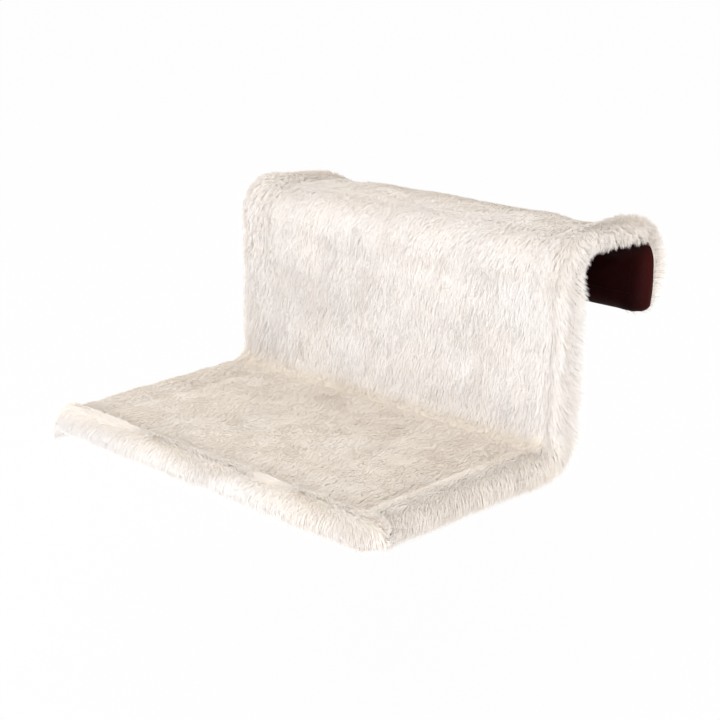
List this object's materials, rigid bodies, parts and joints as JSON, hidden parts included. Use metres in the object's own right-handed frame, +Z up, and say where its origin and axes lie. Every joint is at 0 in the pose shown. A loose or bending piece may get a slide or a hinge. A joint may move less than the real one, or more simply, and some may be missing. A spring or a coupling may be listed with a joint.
{
  "type": "cat radiator bed",
  "caption": "Hanging pet bed: long pile plush cover over a bent tube frame whose hook sits on a radiator's top edge.",
  "frame": {"origin": "middle of the underside of the hook, where the bed rests on the radiator's top edge", "axes": "+Z up, -Y the bed's front (the seat), +Y behind the radiator's front panel, X along the bed's width"},
  "size_m": [0.478, 0.4155, 0.2693],
  "materials": {
    "plush": "matte",
    "lining_cloth": "satin",
    "wadding": "matte",
    "frame_tube": "satin",
    "fastener_steel": "satin",
    "spring_steel": "satin",
    "cap_plastic": "matte",
    "zip_tape": "matte",
    "zip_teeth": "satin",
    "zip_metal": "gloss"
  },
  "bodies": {
    "bed": {"back_lining": "lining_cloth", "back_panel": "plush", "back_wadding": "wadding", "crossbar_inserts": "fastener_steel", "crossbar_screws": "fastener_steel", "front_border": "plush", "front_crossbar": "frame_tube", "left_back_border": "plush", "left_button_spring": "spring_steel", "left_hook_tube": "frame_tube", "left_rear_border": "plush", "left_seat_border": "plush", "left_seat_tube": "frame_tube", "left_top_border": "plush", "lower_back_crossbar": "frame_tube", "rear_crossbar": "frame_tube", "rear_hem": "plush", "rear_lining": "lining_cloth", "rear_panel": "plush", "rear_wadding": "wadding", "right_back_border": "plush", "right_button_spring": "spring_steel", "right_hook_tube": "frame_tube", "right_rear_border": "plush", "right_seat_border": "plush", "right_seat_tube": "frame_tube", "right_top_border": "plush", "seat_lining": "lining_cloth", "seat_panel": "plush", "seat_wadding": "wadding", "top_lining": "lining_cloth", "top_panel": "plush", "top_wadding": "wadding", "tube_end_caps": "cap_plastic", "zip_end_stops": "zip_metal", "zip_front_tape": "zip_tape", "zip_front_teeth": "zip_teeth", "zip_rear_tape": "zip_tape", "zip_rear_teeth": "zip_teeth"},
    "left_button": {"left_snap_button": "spring_steel"},
    "right_button": {"right_snap_button": "spring_steel"},
    "slider": {"zip_slider": "zip_metal"},
    "pull": {"zip_pull": "zip_metal"}
  },
  "joints": [
    {"name": "left_button_press", "type": "slide", "parent": "bed", "child": "left_button", "axis": [-1, 0, 0], "range_m": [0, 0.0032], "stiffness_N_per_m": 1500, "springref_m": -0.001, "deforming": ["left_button_spring"]},
    {"name": "right_button_press", "type": "slide", "parent": "bed", "child": "right_button", "axis": [1, 0, 0], "range_m": [0, 0.0032], "stiffness_N_per_m": 1500, "springref_m": -0.001, "deforming": ["right_button_spring"]},
    {"name": "zip_slide", "type": "slide", "parent": "bed", "child": "slider", "axis": [1, 0, 0], "range_m": [0, 0.3503]},
    {"name": "pull_swing", "type": "hinge", "parent": "slider", "child": "pull", "pos_m": [-0.17515, -0.13816, -0.21114], "axis": [0, 1, 0], "range_deg": [-90, 90]}
  ]
}
